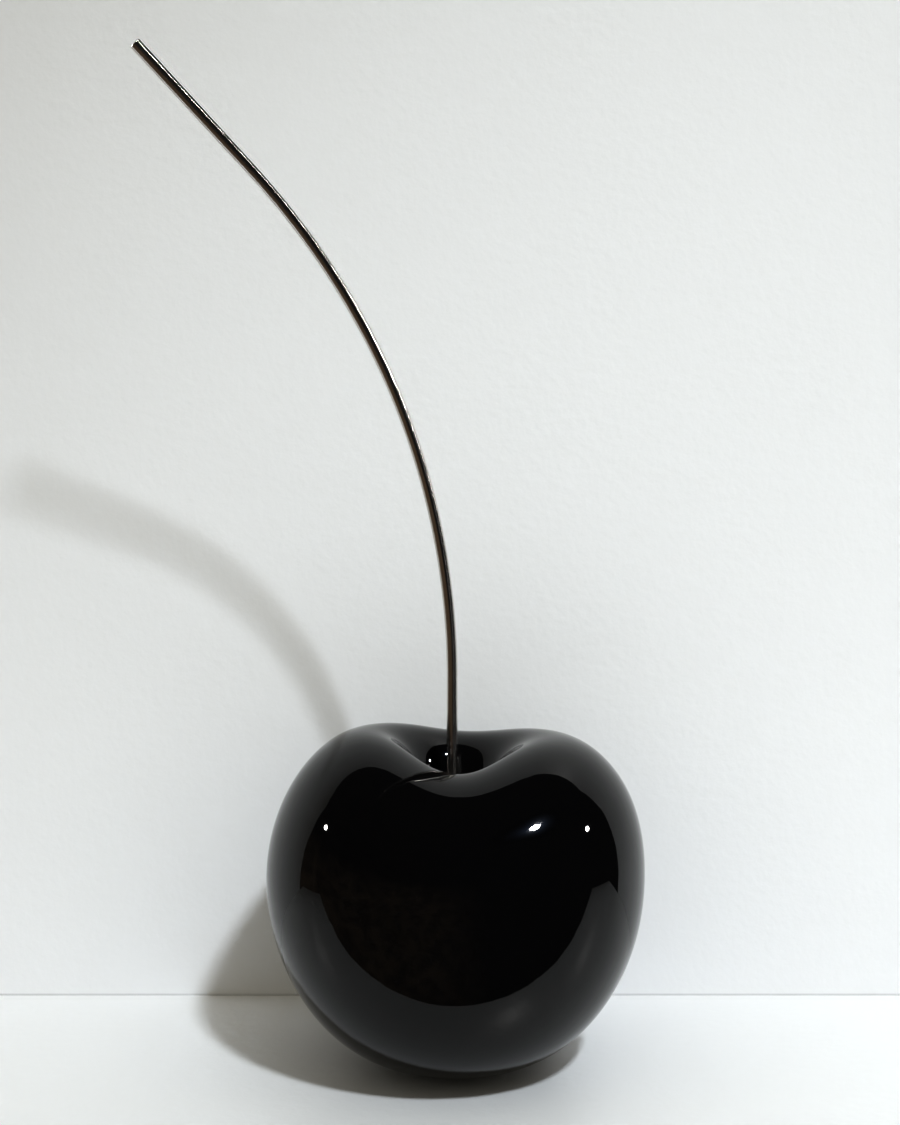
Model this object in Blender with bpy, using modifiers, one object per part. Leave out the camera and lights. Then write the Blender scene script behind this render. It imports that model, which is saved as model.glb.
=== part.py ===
"""Decorative cherry sculpture: a glossy black ceramic body with a long bent steel stem.

Metres, +Z up. The origin is the centre of the flat foot, on the surface that the piece stands
on. The front is -Y: the cleft in the cherry's top faces that way.
"""

import math

import bpy
import numpy as np
from mathutils import Matrix, Vector

# Body: radius and height of its mean outline, from the edge of the foot, out over the widest
# ring and the shoulder, and down the dimple to the mouth of the stem hole
BODY_OUTLINE = [
    (0.0190, 0.0000),
    (0.0580, 0.0136),
    (0.0913, 0.0508),
    (0.1048, 0.0997),
    (0.1015, 0.1366),
    (0.0842, 0.1702),
    (0.0600, 0.1859),
    (0.0385, 0.1838),
    (0.0236, 0.1683),
    (0.0170, 0.1530),
    (0.0048, 0.1365),
]
FOOT_SLOPE = math.radians(10.3)       # rise of the wall where it leaves the foot
MOUTH_SLOPE = math.radians(78.5)      # fall of the dimple's wall at the stem hole
WIDEST_POINT = 3                      # outline point above which the lobes begin
STEPS_PER_SPAN = 3
BODY_SIDES = 56
WALL = 0.005

# Lobes: how the shoulder departs from the mean outline, around the body
FRONT_CLEFT_DEPTH = 0.0193
FRONT_CLEFT_WIDTH = 0.765             # radians, half-width of its bell curve
FRONT_CLEFT_TURN = 0.02               # radians off the -Y direction
BACK_CLEFT_DEPTH = 0.0075
BACK_CLEFT_WIDTH = 0.652
BACK_CLEFT_TURN = -0.12               # radians off the +Y direction
SHOULDER_TILT = -0.0017               # the left shoulder stands this much above the mean
SHOULDER_SHIFT = 0.0029               # the right shoulder's crest lies this much further out

# Stem hole and the neck cast around it, inside the body
NECK_DEPTH = 0.012
STEM_OFFSET_X = -0.0018               # the hole sits slightly left of the middle

# Blind sleeve that holds the stem
GAP = 0.0003
STEM_RADIUS = 0.003
SOCKET_BORE_RADIUS = STEM_RADIUS + GAP
SOCKET_RADIUS = BODY_OUTLINE[-1][0] - GAP
SOCKET_SET_BACK = 0.001               # the top of the sleeve lies this far below the mouth
SOCKET_TOP = BODY_OUTLINE[-1][1] - SOCKET_SET_BACK
SOCKET_LENGTH = 0.045
SOCKET_FLOOR = 0.002
SOCKET_SIDES = 32

# Stem: upright at first, bent once on a round former, straight again to its end
STEM_BEND_START = 0.2170              # height where the bend begins
STEM_BEND_RADIUS = 0.3664
STEM_BEND_ANGLE = math.radians(47.4)
STEM_END_LENGTH = 0.0823
STEM_HEADING = math.radians(180.0 + 28.2)   # direction in which it leans, from +X towards +Y
STEM_BEND_STEPS = 24
STEM_END_CHAMFER = 0.0003

COLLECTION_NAME = "cherry_sculpture"


def clear_scene():
    for obj in list(bpy.data.objects):
        bpy.data.objects.remove(obj, do_unlink=True)


def make_collection(name):
    collection = bpy.data.collections.new(name)
    bpy.context.scene.collection.children.link(collection)
    return collection


def make_material(name, color, roughness, metallic):
    material = bpy.data.materials.new(name)
    material.use_nodes = True
    shader = material.node_tree.nodes["Principled BSDF"]
    shader.inputs["Base Color"].default_value = (*color, 1.0)
    shader.inputs["Roughness"].default_value = roughness
    shader.inputs["Metallic"].default_value = metallic
    return material


def smooth_outline(points, first_slope, last_slope, steps):
    """Cubic spline through the points, with the slopes given at both ends.

    Returns the samples and the length along the outline of each sample and of each point.
    """
    points = np.array(points)
    spans = np.linalg.norm(np.diff(points, axis=0), axis=1)
    knots = np.concatenate([[0.0], np.cumsum(spans)])
    count = len(points)
    system = np.zeros((count, count))
    right = np.zeros((count, 2))
    chords = np.diff(points, axis=0) / spans[:, None]
    system[0, :2] = 2 * spans[0], spans[0]
    system[-1, -2:] = spans[-1], 2 * spans[-1]
    right[0] = 6 * (chords[0] - first_slope)
    right[-1] = 6 * (last_slope - chords[-1])
    for i in range(1, count - 1):
        system[i, i - 1:i + 2] = spans[i - 1], 2 * (spans[i - 1] + spans[i]), spans[i]
        right[i] = 6 * (chords[i] - chords[i - 1])
    bends = np.linalg.solve(system, right)

    samples = [points[0]]
    lengths = [0.0]
    for i in range(count - 1):
        h = spans[i]
        for step in range(1, steps + 1):
            b = h * step / steps
            a = h - b
            samples.append(
                (bends[i] * a**3 + bends[i + 1] * b**3) / (6 * h)
                + (points[i] / h - bends[i] * h / 6) * a
                + (points[i + 1] / h - bends[i + 1] * h / 6) * b
            )
            lengths.append(knots[i] + b)
    return samples, lengths, knots


def bell(angle, centre, width):
    away = math.remainder(angle - centre, math.tau)
    return math.exp(-((away / width) ** 2))


def lobe_shift(angle):
    """How far out and up the shoulder lies from the mean outline in one direction."""
    out = SHOULDER_SHIFT * math.cos(angle)
    up = SHOULDER_TILT * math.cos(angle)
    up -= FRONT_CLEFT_DEPTH * bell(angle, -math.pi / 2 + FRONT_CLEFT_TURN, FRONT_CLEFT_WIDTH)
    up -= BACK_CLEFT_DEPTH * bell(angle, math.pi / 2 + BACK_CLEFT_TURN, BACK_CLEFT_WIDTH)
    return out, up


def body_rings():
    """Radius, height, lobe weight and hole weight of each ring, from the neck to the foot."""
    first_slope = np.array([math.cos(FOOT_SLOPE), math.sin(FOOT_SLOPE)])
    last_slope = np.array([-math.cos(MOUTH_SLOPE), -math.sin(MOUTH_SLOPE)])
    samples, lengths, knots = smooth_outline(BODY_OUTLINE, first_slope, last_slope, STEPS_PER_SPAN)
    lobe_start = knots[WIDEST_POINT]
    rings = [(0.0, 0.0, 0.0, 0.0)]
    for (radius, height), length in zip(samples, lengths):
        along = max(0.0, (length - lobe_start) / (knots[-1] - lobe_start))
        lobe_weight = math.sin(math.pi * along) ** 2
        hole_weight = max(0.0, 2.0 * along - 1.0) ** 2
        rings.append((radius, height, lobe_weight, hole_weight))
    mouth_radius, mouth_height = BODY_OUTLINE[-1]
    rings.append((mouth_radius, mouth_height - NECK_DEPTH, 0.0, 1.0))
    rings.reverse()
    return rings


def turned_mesh(name, outline, sides):
    """Mesh turned around Z from an outline that runs down the outer side."""
    mesh = bpy.data.meshes.new(name)
    edges = [(i, i + 1) for i in range(len(outline) - 1)]
    mesh.from_pydata([(radius, 0.0, height) for radius, height in outline], edges, [])
    profile = bpy.data.objects.new(name + "_profile", mesh)
    bpy.context.scene.collection.objects.link(profile)
    screw = profile.modifiers.new("turn", "SCREW")
    screw.steps = sides
    screw.render_steps = sides
    screw.use_merge_vertices = True
    screw.merge_threshold = 0.0001
    depsgraph = bpy.context.evaluated_depsgraph_get()
    turned = bpy.data.meshes.new_from_object(profile.evaluated_get(depsgraph))
    turned.name = name
    bpy.data.objects.remove(profile, do_unlink=True)
    return turned


def add_part(name, data, material, collection):
    part = bpy.data.objects.new(name, data)
    data.materials.clear()
    data.materials.append(material)
    collection.objects.link(part)
    return part


def make_body(collection):
    """Turned shell, shaped into two lobes, then given its wall towards the inside."""
    rings = body_rings()
    mesh = turned_mesh("body", [ring[:2] for ring in rings], BODY_SIDES)
    ring_places = np.array([ring[:2] for ring in rings])
    for vertex in mesh.vertices:
        x, y, z = vertex.co
        radius = math.hypot(x, y)
        nearest = np.argmin(np.hypot(ring_places[:, 0] - radius, ring_places[:, 1] - z))
        lobe_weight, hole_weight = rings[nearest][2:]
        angle = math.atan2(y, x)
        out, up = lobe_shift(angle)
        radius += lobe_weight * out
        vertex.co.x = radius * math.cos(angle) + hole_weight * STEM_OFFSET_X
        vertex.co.y = radius * math.sin(angle)
        vertex.co.z = z + lobe_weight * up
    mesh.shade_smooth()
    mesh.set_sharp_from_angle(angle=math.radians(35))

    glaze = make_material("black_glaze", (0.004, 0.004, 0.005), 0.05, 0.0)
    body = add_part("body", mesh, glaze, collection)
    wall = body.modifiers.new("wall", "SOLIDIFY")
    wall.thickness = WALL
    wall.offset = -1.0
    wall.use_even_offset = True
    wall.use_rim = True
    return body


def make_socket(collection):
    bottom = SOCKET_TOP - SOCKET_LENGTH
    outline = [
        (0.0, bottom + SOCKET_FLOOR),
        (SOCKET_BORE_RADIUS, bottom + SOCKET_FLOOR),
        (SOCKET_BORE_RADIUS, SOCKET_TOP),
        (SOCKET_RADIUS, SOCKET_TOP),
        (SOCKET_RADIUS, bottom),
        (0.0, bottom),
    ]
    mesh = turned_mesh("stem_socket", outline, SOCKET_SIDES)
    mesh.shade_smooth()
    mesh.set_sharp_from_angle(angle=math.radians(35))
    brass = make_material("socket_metal", (0.62, 0.48, 0.26), 0.4, 1.0)
    socket = add_part("stem_socket", mesh, brass, collection)
    socket.location = (STEM_OFFSET_X, 0.0, 0.0)
    return socket


def stem_line():
    """Points of the stem's centre line, and its radius at each as a share of the full one."""
    lean = Vector((math.cos(STEM_HEADING), math.sin(STEM_HEADING), 0.0))
    foot = Vector((0.0, 0.0, SOCKET_TOP - SOCKET_LENGTH + SOCKET_FLOOR + GAP))
    bend_start = Vector((0.0, 0.0, STEM_BEND_START))
    chamfered = 1.0 - STEM_END_CHAMFER / STEM_RADIUS

    points = [(foot, chamfered), (foot + Vector((0.0, 0.0, STEM_END_CHAMFER)), 1.0)]
    for step in range(STEM_BEND_STEPS + 1):
        angle = STEM_BEND_ANGLE * step / STEM_BEND_STEPS
        sideways = STEM_BEND_RADIUS * (1.0 - math.cos(angle)) * lean
        upwards = Vector((0.0, 0.0, STEM_BEND_RADIUS * math.sin(angle)))
        points.append((bend_start + sideways + upwards, 1.0))
    run = lean * math.sin(STEM_BEND_ANGLE) + Vector((0.0, 0.0, math.cos(STEM_BEND_ANGLE)))
    bend_end = points[-1][0]
    points.append((bend_end + run * (STEM_END_LENGTH - STEM_END_CHAMFER), 1.0))
    points.append((bend_end + run * STEM_END_LENGTH, chamfered))
    return points


def make_stem(collection):
    curve = bpy.data.curves.new("stem", "CURVE")
    curve.dimensions = "3D"
    curve.twist_mode = "MINIMUM"
    curve.bevel_depth = STEM_RADIUS
    curve.bevel_resolution = 6
    curve.use_fill_caps = True
    line = stem_line()
    spline = curve.splines.new("POLY")
    spline.points.add(len(line) - 1)
    for point, (place, share) in zip(spline.points, line):
        point.co = (*place, 1.0)
        point.radius = share
    steel = make_material("polished_steel", (0.62, 0.60, 0.58), 0.08, 1.0)
    stem = add_part("stem", curve, steel, collection)
    stem.matrix_world = Matrix.Translation((STEM_OFFSET_X, 0.0, 0.0))
    return stem


def main():
    clear_scene()
    collection = make_collection(COLLECTION_NAME)
    make_body(collection)
    make_socket(collection)
    make_stem(collection)


main()
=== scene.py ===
"""Looks of the decorative cherry sculpture: black glaze, polished stem, pale studio.

Metres, +Z up, -Y towards the camera. The shape of the body and the stem repeats the
construction's own sizes, with finer steps.
"""

import math

import bpy
import numpy as np
from mathutils import Matrix, Vector


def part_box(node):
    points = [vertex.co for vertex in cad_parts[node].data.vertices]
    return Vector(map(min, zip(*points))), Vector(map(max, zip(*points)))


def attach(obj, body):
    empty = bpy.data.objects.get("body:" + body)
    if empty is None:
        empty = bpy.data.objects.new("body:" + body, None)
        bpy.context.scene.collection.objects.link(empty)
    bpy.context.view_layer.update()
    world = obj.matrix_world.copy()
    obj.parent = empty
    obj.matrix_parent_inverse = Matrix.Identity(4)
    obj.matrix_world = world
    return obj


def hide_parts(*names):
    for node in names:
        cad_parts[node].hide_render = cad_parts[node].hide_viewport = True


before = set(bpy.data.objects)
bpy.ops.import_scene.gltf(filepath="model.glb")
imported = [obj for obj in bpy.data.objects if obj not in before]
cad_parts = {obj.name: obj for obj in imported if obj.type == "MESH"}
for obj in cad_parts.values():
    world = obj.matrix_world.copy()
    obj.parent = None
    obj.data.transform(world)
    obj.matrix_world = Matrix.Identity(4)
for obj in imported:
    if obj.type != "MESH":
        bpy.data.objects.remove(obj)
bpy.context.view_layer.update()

# Body: radius and height of its mean outline, from the foot's edge to the stem hole
BODY_OUTLINE = [
    (0.0190, 0.0000),
    (0.0580, 0.0136),
    (0.0913, 0.0508),
    (0.1048, 0.0997),
    (0.1015, 0.1366),
    (0.0842, 0.1702),
    (0.0600, 0.1859),
    (0.0385, 0.1838),
    (0.0236, 0.1683),
    (0.0170, 0.1530),
    (0.0048, 0.1365),
]
FOOT_SLOPE = math.radians(10.3)
MOUTH_SLOPE = math.radians(78.5)
WIDEST_POINT = 3
WALL = 0.005
STEPS_PER_SPAN = 11
BODY_SIDES = 192

# Lobes
FRONT_CLEFT_DEPTH = 0.0193
FRONT_CLEFT_WIDTH = 0.765
FRONT_CLEFT_TURN = 0.02
BACK_CLEFT_DEPTH = 0.0075
BACK_CLEFT_WIDTH = 0.652
BACK_CLEFT_TURN = -0.12
SHOULDER_TILT = -0.0017
SHOULDER_SHIFT = 0.0029

# Stem hole
NECK_DEPTH = 0.012
STEM_OFFSET_X = -0.0018

# Stem
STEM_RADIUS = 0.003
STEM_FOOT_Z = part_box("stem")[0][2]
STEM_BEND_START = 0.2170
STEM_BEND_RADIUS = 0.3664
STEM_BEND_ANGLE = math.radians(47.4)
STEM_END_LENGTH = 0.0823
STEM_HEADING = math.radians(180.0 + 28.2)
STEM_BEND_STEPS = 120
STEM_STRAIGHT_STEPS = 10
STEM_SIDES = 40
STEM_END_CHAMFER = 0.0003

# Camera, as the photograph sees it
CAMERA_PLACE = (-0.0030, -0.8871, 0.3150)
CAMERA_PITCH = 0.038                  # radians below level
CAMERA_LENS = 51.2                    # millimetres on a 36 mm high frame

# Studio
WALL_Y = 0.123
SHELF_FRONT_Y = -0.134
SHELF_HALF_LENGTH = 1.0
NEAR_WALL_LEFT = -0.80
NEAR_WALL_RIGHT = 0.55
NEAR_WALL_TOP = 0.66
STUDIO_REACH = 3.0
KEY_PLACE = (0.98, -2.05, 2.58)
KEY_TARGET = (0.03, 0.12, -0.22)
KEY_RADIUS = 0.135
KEY_CONE = 40.0                       # degrees
KEY_POWER = 371.0
FILL_STRENGTH = 0.59
VIEW_GAMMA = 0.68
FLOOR_COLOR = (0.794, 0.800, 0.808)
BACKDROP_COLOR = (0.842, 0.847, 0.860)
KEY_COLOR = (0.89, 0.945, 1.0)
# Painted light: the floor glows for the eye alone, more the farther out, where the key light fades.
PAINTED_LIGHT_START = 0.50                     # from here on the key light on the floor fades out
PAINTED_LIGHT_END = 1.05
PAINTED_LIGHT_STRENGTH = 0.40

# Small lamps, which show only as glints in the glaze and the steel
GLINT_TARGET = (0.0, 0.0, 0.14)
GLINT_SIDES = 32
LAMP_COLOR = (1.0, 0.98, 0.95)
LAMP_SQUASH = 0.6
LAMP_TURN = math.radians(45.0)
LAMP_PLACE = (1.11, -0.74, 2.30)
LAMP_RADIUS = 0.10
LAMP_STRENGTH = 1200.0
HAZE_COLOR = (0.45, 0.62, 1.0)
HAZE_PLACE = (1.13, -0.753, 2.344)
HAZE_RADIUS = 0.75
HAZE_STRENGTH = 2.6
HAZE_FALL = 3.0
SIDE_LAMP_STRENGTH = 170.0
RIGHT_LAMP_PLACE = (1.87, -0.045, 1.04)
RIGHT_LAMP_RADIUS = 0.062
LEFT_LAMP_PLACE = (-1.86, 0.06, 1.04)
LEFT_LAMP_RADIUS = 0.048

# Surroundings: what the eye sees past the sheets, the fill light, and the room in reflections
SEEN_COLOR = (0.80, 0.81, 0.80, 1.0)
FILL_COLOR = (1.0, 0.945, 0.80, 1.0)
ROOM_COLOR = (0.020, 0.021, 0.024, 1.0)
WARM_COLOR = (0.250, 0.185, 0.125, 1.0)


# Node helpers

def new_material(name):
    material = bpy.data.materials.new(name)
    material.use_nodes = True
    material.node_tree.nodes.clear()
    return material


def add_node(tree, kind, **values):
    """New node with these properties set."""
    node = tree.nodes.new(kind)
    for key, value in values.items():
        setattr(node, key, value)
    return node


def set_input(node, name, value):
    node.inputs[name].default_value = value


def link(tree, source, target):
    tree.links.new(source, target)


def noise(tree, vector, scale, detail=2.0, roughness=0.5):
    node = add_node(tree, "ShaderNodeTexNoise")
    set_input(node, "Scale", scale)
    set_input(node, "Detail", detail)
    set_input(node, "Roughness", roughness)
    link(tree, vector, node.inputs["Vector"])
    return node.outputs["Fac"]


def map_range(tree, value, low, high, out_low, out_high):
    node = add_node(tree, "ShaderNodeMapRange")
    node.clamp = True
    for name, number in (
        ("From Min", low),
        ("From Max", high),
        ("To Min", out_low),
        ("To Max", out_high),
    ):
        set_input(node, name, number)
    link(tree, value, node.inputs["Value"])
    return node.outputs["Result"]


def math_node(tree, operation, first, second):
    node = add_node(tree, "ShaderNodeMath", operation=operation)
    for socket, value in zip(node.inputs, (first, second)):
        if isinstance(value, (int, float)):
            socket.default_value = value
        else:
            link(tree, value, socket)
    return node.outputs[0]


def mix_color(tree, factor, first, second):
    node = add_node(tree, "ShaderNodeMix", data_type="RGBA")
    for socket, value in ((node.inputs[0], factor), (node.inputs[6], first), (node.inputs[7], second)):
        if isinstance(value, (int, float, tuple)):
            socket.default_value = value
        else:
            link(tree, value, socket)
    return node.outputs[2]


def bump(tree, height, distance, normal=None):
    node = add_node(tree, "ShaderNodeBump")
    set_input(node, "Strength", 1.0)
    set_input(node, "Distance", distance)
    link(tree, height, node.inputs["Height"])
    if normal is not None:
        link(tree, normal, node.inputs["Normal"])
    return node.outputs["Normal"]


def principled(tree, **values):
    """Shader with these inputs set, an underline standing for a space in the input's name."""
    shader = add_node(tree, "ShaderNodeBsdfPrincipled")
    output = add_node(tree, "ShaderNodeOutputMaterial")
    link(tree, shader.outputs["BSDF"], output.inputs["Surface"])
    for name, value in values.items():
        set_input(shader, name.replace("_", " "), value)
    return shader


# Materials

def make_glaze():
    """Black glaze, wiped off the foot ring, with a faint ripple and a little dust."""
    material = new_material("black_glaze")
    tree = material.node_tree
    place = add_node(tree, "ShaderNodeTexCoord").outputs["Object"]
    split = add_node(tree, "ShaderNodeSeparateXYZ")
    link(tree, place, split.inputs[0])
    shader = principled(tree, Metallic=0.0, IOR=1.485)

    depth = noise(tree, place, 9.0, 3.0)
    glaze = mix_color(tree, depth, (0.0022, 0.0022, 0.0026, 1.0), (0.0045, 0.0043, 0.0045, 1.0))
    specks = add_node(tree, "ShaderNodeTexVoronoi")
    set_input(specks, "Scale", 55.0)
    link(tree, place, specks.inputs["Vector"])
    dust = map_range(tree, specks.outputs["Distance"], 0.012, 0.02, 1.0, 0.0)
    chance = add_node(tree, "ShaderNodeSeparateColor")
    link(tree, specks.outputs["Color"], chance.inputs[0])
    kept = math_node(tree, "GREATER_THAN", chance.outputs[0], 0.72)
    dust = math_node(tree, "MULTIPLY", dust, kept)
    dusty = mix_color(tree, dust, glaze, (0.16, 0.155, 0.15, 1.0))

    edge = math_node(tree, "MULTIPLY", noise(tree, place, 120.0, 2.0), 0.0005)
    height = math_node(tree, "SUBTRACT", split.outputs["Z"], edge)
    bare = map_range(tree, height, 0.0003, 0.0005, 1.0, 0.0)
    grain = noise(tree, place, 900.0, 3.0)
    clay = mix_color(tree, grain, (0.42, 0.36, 0.29, 1.0), (0.62, 0.55, 0.46, 1.0))
    color = mix_color(tree, bare, dusty, clay)
    link(tree, color, shader.inputs["Base Color"])

    wiped = map_range(tree, noise(tree, place, 14.0, 4.0, 0.6), 0.35, 0.75, 0.018, 0.05)
    rough = math_node(tree, "ADD", wiped, math_node(tree, "MULTIPLY", bare, 0.7))
    rough = math_node(tree, "ADD", rough, math_node(tree, "MULTIPLY", dust, 0.5))
    link(tree, rough, shader.inputs["Roughness"])

    ripple = bump(tree, noise(tree, place, 38.0, 2.0), 0.00012)
    peel = bump(tree, noise(tree, place, 210.0, 1.0), 0.0000045, ripple)
    clay_grain = math_node(tree, "MULTIPLY", grain, bare)
    link(tree, bump(tree, clay_grain, 0.0001, peel), shader.inputs["Normal"])
    return material


def make_steel():
    """Steel polished around the rod, so that reflections run along it in stripes."""
    material = new_material("polished_steel")
    tree = material.node_tree
    uv = add_node(tree, "ShaderNodeTexCoord").outputs["UV"]
    place = add_node(tree, "ShaderNodeTexCoord").outputs["Object"]
    shader = principled(tree, Metallic=1.0, Anisotropic=1.0, Anisotropic_Rotation=0.25)
    tangent = add_node(tree, "ShaderNodeTangent", direction_type="UV_MAP", uv_map="along")
    link(tree, tangent.outputs[0], shader.inputs["Tangent"])

    stretch = add_node(tree, "ShaderNodeVectorMath", operation="MULTIPLY")
    stretch.inputs[1].default_value = (0.0, 900.0, 1.0)
    link(tree, uv, stretch.inputs[0])
    lines = noise(tree, stretch.outputs[0], 1.0, 3.0, 0.6)
    cloud = noise(tree, place, 45.0, 3.0)
    color = mix_color(tree, cloud, (0.60, 0.575, 0.55, 1.0), (0.70, 0.68, 0.66, 1.0))
    link(tree, color, shader.inputs["Base Color"])
    worn = map_range(tree, cloud, 0.35, 0.7, 0.155, 0.175)
    drawn = map_range(tree, lines, 0.3, 0.7, 0.0, 0.02)
    link(tree, math_node(tree, "ADD", worn, drawn), shader.inputs["Roughness"])
    link(tree, bump(tree, lines, 0.0000008), shader.inputs["Normal"])
    return material


def make_brass():
    """Turned brass of the sleeve, dulled, with fine tool rings."""
    material = new_material("turned_brass")
    tree = material.node_tree
    place = add_node(tree, "ShaderNodeTexCoord").outputs["Object"]
    shader = principled(tree, Metallic=1.0)
    dull = noise(tree, place, 240.0, 3.0)
    color = mix_color(tree, dull, (0.40, 0.29, 0.14, 1.0), (0.66, 0.52, 0.29, 1.0))
    link(tree, color, shader.inputs["Base Color"])
    link(tree, map_range(tree, dull, 0.3, 0.7, 0.28, 0.45), shader.inputs["Roughness"])
    rings = add_node(tree, "ShaderNodeTexWave", wave_type="BANDS", bands_direction="Z")
    set_input(rings, "Scale", 900.0)
    link(tree, place, rings.inputs["Vector"])
    link(tree, bump(tree, rings.outputs["Fac"], 0.00001), shader.inputs["Normal"])
    return material


def paint_light_on_far_floor(tree, place, shader):
    """Painted light: make the floor glow, for the eye alone, where the key light fades out on it."""
    reach = add_node(tree, "ShaderNodeVectorMath", operation="LENGTH")
    link(tree, place, reach.inputs[0])
    # Painted light: emission growing with distance from the middle, seen by camera rays only.
    painted_light = map_range(tree, reach.outputs["Value"], PAINTED_LIGHT_START, PAINTED_LIGHT_END, 0.0, PAINTED_LIGHT_STRENGTH)
    seen = add_node(tree, "ShaderNodeLightPath").outputs["Is Camera Ray"]
    set_input(shader, "Emission Color", (1.0, 1.0, 1.0, 1.0))
    link(tree, math_node(tree, "MULTIPLY", painted_light, seen), shader.inputs["Emission Strength"])


def clear_from_behind(tree, shader):
    """Let the eye look through the sheet's back."""
    behind = add_node(tree, "ShaderNodeNewGeometry").outputs["Backfacing"]
    clear = add_node(tree, "ShaderNodeBsdfTransparent")
    choose = add_node(tree, "ShaderNodeMixShader")
    link(tree, behind, choose.inputs[0])
    link(tree, shader.outputs[0], choose.inputs[1])
    link(tree, clear.outputs[0], choose.inputs[2])
    output = next(n for n in tree.nodes if n.type == "OUTPUT_MATERIAL")
    link(tree, choose.outputs[0], output.inputs["Surface"])


def make_paint(name, color, roughness, wall):
    """Pale satin paint, faintly uneven; on the wall painted shade, dimmer higher up and close to the
    floor; on the floor painted light far out.
    """
    material = new_material(name)
    tree = material.node_tree
    place = add_node(tree, "ShaderNodeTexCoord").outputs["Object"]
    shader = principled(tree, Roughness=roughness, Specular_IOR_Level=0.3)
    cloud = noise(tree, place, 3.0, 4.0)
    darker = tuple(channel * 0.97 for channel in color)
    tint = mix_color(tree, cloud, (*darker, 1.0), (*color, 1.0))
    if wall:
        split = add_node(tree, "ShaderNodeSeparateXYZ")
        link(tree, place, split.inputs[0])
        # Painted shade on the wall: darker higher up, and in a thin dark strip along the corner with the
        # floor.
        painted_falloff_shade = map_range(tree, split.outputs["Z"], 0.15, 0.62, 1.0, 0.88)
        painted_corner_shade = map_range(tree, split.outputs["Z"], 0.0006, 0.0018, 0.82, 1.0)
        shade = math_node(tree, "MULTIPLY", painted_falloff_shade, painted_corner_shade)
        tint = mix_color(tree, shade, (0.0, 0.0, 0.0, 1.0), tint)
    link(tree, tint, shader.inputs["Base Color"])
    link(tree, bump(tree, noise(tree, place, 160.0, 3.0), 0.0002), shader.inputs["Normal"])
    if wall:
        clear_from_behind(tree, shader)
    else:
        paint_light_on_far_floor(tree, place, shader)
    return material


# Body shape, as in the construction

def smooth_outline(points, first_slope, last_slope, steps):
    """Cubic spline through the points, with the slopes given at both ends."""
    points = np.array(points)
    spans = np.linalg.norm(np.diff(points, axis=0), axis=1)
    knots = np.concatenate([[0.0], np.cumsum(spans)])
    count = len(points)
    system = np.zeros((count, count))
    right = np.zeros((count, 2))
    chords = np.diff(points, axis=0) / spans[:, None]
    system[0, :2] = 2 * spans[0], spans[0]
    system[-1, -2:] = spans[-1], 2 * spans[-1]
    right[0] = 6 * (chords[0] - first_slope)
    right[-1] = 6 * (last_slope - chords[-1])
    for i in range(1, count - 1):
        system[i, i - 1:i + 2] = spans[i - 1], 2 * (spans[i - 1] + spans[i]), spans[i]
        right[i] = 6 * (chords[i] - chords[i - 1])
    bends = np.linalg.solve(system, right)

    samples = [points[0]]
    lengths = [0.0]
    for i in range(count - 1):
        h = spans[i]
        for step in range(1, steps + 1):
            b = h * step / steps
            a = h - b
            samples.append(
                (bends[i] * a**3 + bends[i + 1] * b**3) / (6 * h)
                + (points[i] / h - bends[i] * h / 6) * a
                + (points[i + 1] / h - bends[i + 1] * h / 6) * b
            )
            lengths.append(knots[i] + b)
    return samples, lengths, knots


def bell(angle, centre, width):
    away = math.remainder(angle - centre, math.tau)
    return math.exp(-((away / width) ** 2))


def lobe_shift(angle):
    """How far out and up the shoulder lies from the mean outline in one direction."""
    out = SHOULDER_SHIFT * math.cos(angle)
    up = SHOULDER_TILT * math.cos(angle)
    up -= FRONT_CLEFT_DEPTH * bell(angle, -math.pi / 2 + FRONT_CLEFT_TURN, FRONT_CLEFT_WIDTH)
    up -= BACK_CLEFT_DEPTH * bell(angle, math.pi / 2 + BACK_CLEFT_TURN, BACK_CLEFT_WIDTH)
    return out, up


def body_rings():
    """Radius, height, lobe weight and hole weight of each ring, from the foot to the neck."""
    first_slope = np.array([math.cos(FOOT_SLOPE), math.sin(FOOT_SLOPE)])
    last_slope = np.array([-math.cos(MOUTH_SLOPE), -math.sin(MOUTH_SLOPE)])
    samples, lengths, knots = smooth_outline(BODY_OUTLINE, first_slope, last_slope, STEPS_PER_SPAN)
    lobe_start = knots[WIDEST_POINT]
    foot_radius = BODY_OUTLINE[0][0]
    rings = [(foot_radius * share, 0.0, 0.0, 0.0) for share in (0.3, 0.7)]
    for (radius, height), length in zip(samples, lengths):
        along = max(0.0, (length - lobe_start) / (knots[-1] - lobe_start))
        lobe_weight = math.sin(math.pi * along) ** 2
        hole_weight = max(0.0, 2.0 * along - 1.0) ** 2
        rings.append((radius, height, lobe_weight, hole_weight))
    mouth_radius, mouth_height = BODY_OUTLINE[-1]
    for share in (0.02, 0.3, 0.7, 1.0):
        rings.append((mouth_radius, mouth_height - share * NECK_DEPTH, 0.0, 1.0))
    return rings


def loft(name, rings, uvs=None, start_cap=False, end_cap=False):
    """Mesh through rings of points, each ring as long as the next, closed around."""
    sides = len(rings[0])
    points = [point for ring in rings for point in ring]
    faces = []
    for r in range(len(rings) - 1):
        for s in range(sides):
            t = (s + 1) % sides
            faces.append((r * sides + s, r * sides + t, (r + 1) * sides + t, (r + 1) * sides + s))
    if start_cap:
        faces.append(tuple(reversed(range(sides))))
    if end_cap:
        first = (len(rings) - 1) * sides
        faces.append(tuple(range(first, first + sides)))
    mesh = bpy.data.meshes.new(name)
    mesh.from_pydata([tuple(point) for point in points], [], faces)
    if uvs is not None:
        layer = mesh.uv_layers.new(name="along")
        corner = 0
        for face in faces:
            wraps = len(face) == 4 and face[1] % sides == 0
            for place, index in enumerate(face):
                u, v = uvs[index]
                if wraps and place in (1, 2):
                    u = 1.0
                layer.data[corner].uv = (u, v)
                corner += 1
    mesh.validate()
    return mesh


def add_piece(name, mesh, material):
    piece = bpy.data.objects.new(name, mesh)
    bpy.context.scene.collection.objects.link(piece)
    mesh.materials.append(material)
    mesh.shade_smooth()
    return piece


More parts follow.
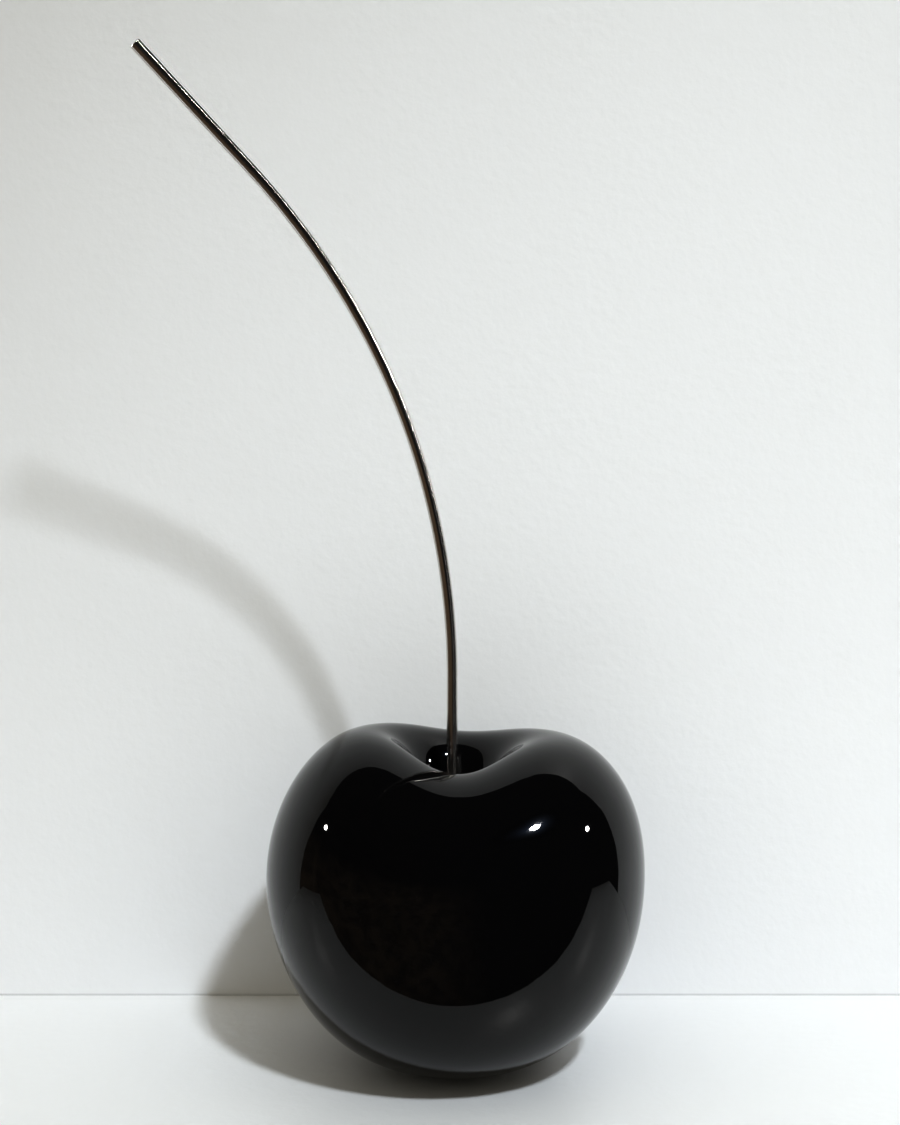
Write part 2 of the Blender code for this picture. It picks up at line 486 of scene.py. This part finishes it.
def make_body(material):
    rings = []
    for radius, height, lobe_weight, hole_weight in body_rings():
        ring = []
        for side in range(BODY_SIDES):
            angle = math.tau * side / BODY_SIDES
            out, up = lobe_shift(angle)
            reach = radius + lobe_weight * out
            ring.append((
                reach * math.cos(angle) + hole_weight * STEM_OFFSET_X,
                reach * math.sin(angle),
                height + lobe_weight * up,
            ))
        rings.append(ring)
    mesh = loft("glazed_body", rings, start_cap=True)
    body = add_piece("glazed_body", mesh, material)
    wall = body.modifiers.new("wall", "SOLIDIFY")
    wall.thickness = WALL
    wall.offset = -1.0
    wall.use_even_offset = True
    wall.use_rim = True
    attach(body, "root")
    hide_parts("body")


# Stem

def stem_stations():
    """Centre, direction and radius of each ring along the stem, chamfered at both ends."""
    lean = Vector((math.cos(STEM_HEADING), math.sin(STEM_HEADING), 0.0))
    up = Vector((0.0, 0.0, 1.0))
    base = Vector((STEM_OFFSET_X, 0.0, 0.0))
    cut = STEM_RADIUS - STEM_END_CHAMFER
    stations = [
        (base + up * STEM_FOOT_Z, up, cut),
        (base + up * (STEM_FOOT_Z + STEM_END_CHAMFER), up, STEM_RADIUS),
    ]
    for step in range(1, STEM_STRAIGHT_STEPS):
        height = STEM_FOOT_Z + (STEM_BEND_START - STEM_FOOT_Z) * step / STEM_STRAIGHT_STEPS
        stations.append((base + up * height, up, STEM_RADIUS))
    for step in range(STEM_BEND_STEPS + 1):
        angle = STEM_BEND_ANGLE * step / STEM_BEND_STEPS
        centre = (
            base
            + lean * STEM_BEND_RADIUS * (1.0 - math.cos(angle))
            + up * (STEM_BEND_START + STEM_BEND_RADIUS * math.sin(angle))
        )
        run = lean * math.sin(angle) + up * math.cos(angle)
        stations.append((centre, run, STEM_RADIUS))
    bend_end, run, _ = stations[-1]
    for step in range(1, STEM_STRAIGHT_STEPS):
        along = STEM_END_LENGTH * step / STEM_STRAIGHT_STEPS
        stations.append((bend_end + run * along, run, STEM_RADIUS))
    stations.append((bend_end + run * (STEM_END_LENGTH - STEM_END_CHAMFER), run, STEM_RADIUS))
    stations.append((bend_end + run * STEM_END_LENGTH, run, cut))
    return stations


def make_stem(material):
    side_axis = Vector((math.sin(STEM_HEADING), -math.cos(STEM_HEADING), 0.0))
    rings = []
    uvs = []
    travelled = 0.0
    previous = None
    for centre, run, radius in stem_stations():
        if previous is not None:
            travelled += (centre - previous).length
        previous = centre
        other_axis = run.cross(side_axis)
        ring = []
        for side in range(STEM_SIDES):
            angle = math.tau * side / STEM_SIDES
            ring.append(centre + radius * (math.cos(angle) * side_axis + math.sin(angle) * other_axis))
            uvs.append((side / STEM_SIDES, travelled))
        rings.append(ring)
    mesh = loft("steel_stem", rings, uvs=uvs, start_cap=True, end_cap=True)
    stem = add_piece("steel_stem", mesh, material)
    mesh.set_sharp_from_angle(angle=math.radians(30))
    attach(stem, "root")
    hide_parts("stem")


# Studio

def add_sheet(name, corners, material, hole=None):
    """Flat stage sheet through its corners, or with a hole of as many corners left out."""
    if hole is None:
        points = corners
        faces = [(0, 1, 2, 3)]
    else:
        points = corners + hole
        faces = [(0, 1, 5, 4), (1, 2, 6, 5), (2, 3, 7, 6), (3, 0, 4, 7)]
    mesh = bpy.data.meshes.new(name)
    mesh.from_pydata(points, [], faces)
    sheet = bpy.data.objects.new(name, mesh)
    bpy.context.scene.collection.objects.link(sheet)
    mesh.materials.append(material)
    return sheet


def make_stage():
    paint = make_paint("floor_paint_with_painted_light", FLOOR_COLOR, 0.30, wall=False)
    wall_paint = make_paint("backdrop_paint_with_painted_shade", BACKDROP_COLOR, 0.62, wall=True)
    shelf = [
        (-SHELF_HALF_LENGTH, SHELF_FRONT_Y, 0.0),
        (SHELF_HALF_LENGTH, SHELF_FRONT_Y, 0.0),
        (SHELF_HALF_LENGTH, WALL_Y, 0.0),
        (-SHELF_HALF_LENGTH, WALL_Y, 0.0),
    ]
    reach = STUDIO_REACH
    around = [(-reach, -reach, 0.0), (reach, -reach, 0.0), (reach, reach, 0.0), (-reach, reach, 0.0)]
    add_sheet("floor_near", shelf, paint)
    outer = add_sheet("floor_far", around, paint, hole=shelf)
    outer.visible_glossy = False

    near = [
        (NEAR_WALL_LEFT, WALL_Y, 0.0),
        (NEAR_WALL_RIGHT, WALL_Y, 0.0),
        (NEAR_WALL_RIGHT, WALL_Y, NEAR_WALL_TOP),
        (NEAR_WALL_LEFT, WALL_Y, NEAR_WALL_TOP),
    ]
    wide = [(-reach, WALL_Y, 0.0), (reach, WALL_Y, 0.0), (reach, WALL_Y, reach), (-reach, WALL_Y, reach)]
    backdrop = add_sheet("backdrop_near", near, wall_paint)
    far = add_sheet("backdrop_far", wide, wall_paint, hole=near)
    far.visible_glossy = False
    for sheet in (backdrop, far):
        sheet.visible_shadow = False


def aim(obj, target):
    obj.rotation_euler = (Vector(target) - obj.location).to_track_quat("-Z", "Y").to_euler()


def make_key_light():
    light = bpy.data.lights.new("key", "SPOT")
    light.energy = KEY_POWER
    light.color = KEY_COLOR
    light.spot_size = math.radians(KEY_CONE)
    light.spot_blend = 1.0
    light.shadow_soft_size = KEY_RADIUS
    lamp = bpy.data.objects.new("key", light)
    lamp.location = KEY_PLACE
    bpy.context.scene.collection.objects.link(lamp)
    aim(lamp, KEY_TARGET)
    lamp.visible_glossy = False


def make_glow(name, color, strength, fall):
    """Emission that fades from the middle of a disc to its edge, or is even where fall is 0."""
    material = new_material(name)
    tree = material.node_tree
    emission = add_node(tree, "ShaderNodeEmission")
    set_input(emission, "Color", (*color, 1.0))
    set_input(emission, "Strength", strength)
    if fall:
        place = add_node(tree, "ShaderNodeTexCoord").outputs["Object"]
        length = add_node(tree, "ShaderNodeVectorMath", operation="LENGTH")
        link(tree, place, length.inputs[0])
        fade = map_range(tree, length.outputs["Value"], 0.0, 1.0, 1.0, 0.0)
        fade = math_node(tree, "MULTIPLY", math_node(tree, "POWER", fade, fall), strength)
        link(tree, fade, emission.inputs["Strength"])
    output = add_node(tree, "ShaderNodeOutputMaterial")
    link(tree, emission.outputs[0], output.inputs["Surface"])
    return material


def add_glint(name, place, radius, material, squash=1.0, turn=0.0):
    """Disc lamp that only shows in reflections, squashed and then turned about its axis."""
    points = [(0.0, 0.0, 0.0)]
    for i in range(GLINT_SIDES):
        angle = math.tau * i / GLINT_SIDES
        points.append((math.cos(angle), math.sin(angle), 0.0))
    faces = [(0, 1 + i, 1 + (i + 1) % GLINT_SIDES) for i in range(GLINT_SIDES)]
    mesh = bpy.data.meshes.new(name)
    mesh.from_pydata(points, [], faces)
    mesh.materials.append(material)
    disc = bpy.data.objects.new(name, mesh)
    disc.location = place
    disc.scale = (radius * squash, radius, radius)
    bpy.context.scene.collection.objects.link(disc)
    aim(disc, GLINT_TARGET)
    disc.rotation_euler = (disc.rotation_euler.to_matrix() @ Matrix.Rotation(turn, 3, "Z")).to_euler()
    disc.visible_camera = False
    disc.visible_diffuse = False
    disc.visible_shadow = False


def make_lights():
    make_key_light()
    main = make_glow("lamp_face", LAMP_COLOR, LAMP_STRENGTH, fall=0.0)
    side = make_glow("side_lamp_face", LAMP_COLOR, SIDE_LAMP_STRENGTH, fall=0.0)
    haze = make_glow("lamp_haze", HAZE_COLOR, HAZE_STRENGTH, fall=HAZE_FALL)
    add_glint("lamp_main", LAMP_PLACE, LAMP_RADIUS, main, LAMP_SQUASH, LAMP_TURN)
    add_glint("lamp_main_haze", HAZE_PLACE, HAZE_RADIUS, haze, LAMP_SQUASH, LAMP_TURN)
    add_glint("lamp_right", RIGHT_LAMP_PLACE, RIGHT_LAMP_RADIUS, side)
    add_glint("lamp_left", LEFT_LAMP_PLACE, LEFT_LAMP_RADIUS, side)


def make_world():
    """Pale surroundings for the eye, soft fill for the light, a dark room for the reflections."""
    world = bpy.data.worlds.new("studio")
    bpy.context.scene.world = world
    world.use_nodes = True
    tree = world.node_tree
    tree.nodes.clear()
    rays = add_node(tree, "ShaderNodeLightPath")
    output = add_node(tree, "ShaderNodeOutputWorld")

    seen = add_node(tree, "ShaderNodeBackground")
    set_input(seen, "Color", SEEN_COLOR)
    set_input(seen, "Strength", 1.0)
    fill = add_node(tree, "ShaderNodeBackground")
    set_input(fill, "Color", FILL_COLOR)
    set_input(fill, "Strength", FILL_STRENGTH)
    dark = add_node(tree, "ShaderNodeBackground")
    set_input(dark, "Strength", 1.0)
    direction = add_node(tree, "ShaderNodeTexCoord").outputs["Generated"]
    split = add_node(tree, "ShaderNodeSeparateXYZ")
    link(tree, direction, split.inputs[0])
    level = map_range(tree, split.outputs["Z"], 0.08, 0.34, 1.0, 0.10)
    left = map_range(tree, split.outputs["X"], -0.20, 0.30, 1.0, 0.05)
    patches = map_range(tree, noise(tree, direction, 8.0, 4.0, 0.6), 0.40, 0.62, 0.35, 1.0)
    warmth = math_node(tree, "MULTIPLY", math_node(tree, "MULTIPLY", level, left), patches)
    tone = mix_color(tree, warmth, ROOM_COLOR, WARM_COLOR)
    link(tree, tone, dark.inputs["Color"])

    first = add_node(tree, "ShaderNodeMixShader")
    link(tree, rays.outputs["Is Glossy Ray"], first.inputs[0])
    link(tree, fill.outputs[0], first.inputs[1])
    link(tree, dark.outputs[0], first.inputs[2])
    second = add_node(tree, "ShaderNodeMixShader")
    link(tree, rays.outputs["Is Camera Ray"], second.inputs[0])
    link(tree, first.outputs[0], second.inputs[1])
    link(tree, seen.outputs[0], second.inputs[2])
    link(tree, second.outputs[0], output.inputs["Surface"])


def make_camera():
    data = bpy.data.cameras.new("camera")
    data.lens = CAMERA_LENS
    data.sensor_width = 36.0
    camera = bpy.data.objects.new("camera", data)
    bpy.context.scene.collection.objects.link(camera)
    camera.location = CAMERA_PLACE
    camera.rotation_euler = (math.pi / 2 - CAMERA_PITCH, 0.0, 0.0)
    bpy.context.scene.camera = camera


def main():
    view = bpy.context.scene.view_settings
    view.view_transform = "Standard"
    view.gamma = VIEW_GAMMA
    make_camera()
    make_body(make_glaze())
    make_stem(make_steel())
    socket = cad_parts["stem_socket"]
    socket.data.materials.clear()
    socket.data.materials.append(make_brass())
    make_stage()
    make_lights()
    make_world()


main()
